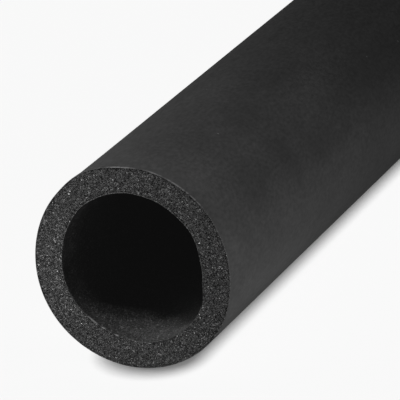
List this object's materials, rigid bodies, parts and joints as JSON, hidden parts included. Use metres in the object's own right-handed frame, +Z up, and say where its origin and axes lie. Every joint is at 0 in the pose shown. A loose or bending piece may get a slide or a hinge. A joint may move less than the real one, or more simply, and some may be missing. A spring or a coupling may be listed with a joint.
{
  "type": "pipe insulation lagging tube",
  "caption": "Straight length of black closed-cell foam tube with a smooth skin, a round bore and square-cut ends, slid over a heating pipe as lagging.",
  "frame": {"origin": "on the axis of the round outside, halfway along the tube", "axes": "+X along the tube, with the end that the picture shows at -X; +Z up as the tube lies on a level floor"},
  "size_m": [1, 0.066, 0.066],
  "materials": {
    "elastomeric_foam": "matt black closed-cell foam: smooth extruded skin outside and in the bore, open cut cells on both ends"
  },
  "bodies": {
    "root": {"foam_tube": "elastomeric_foam"}
  },
  "joints": []
}
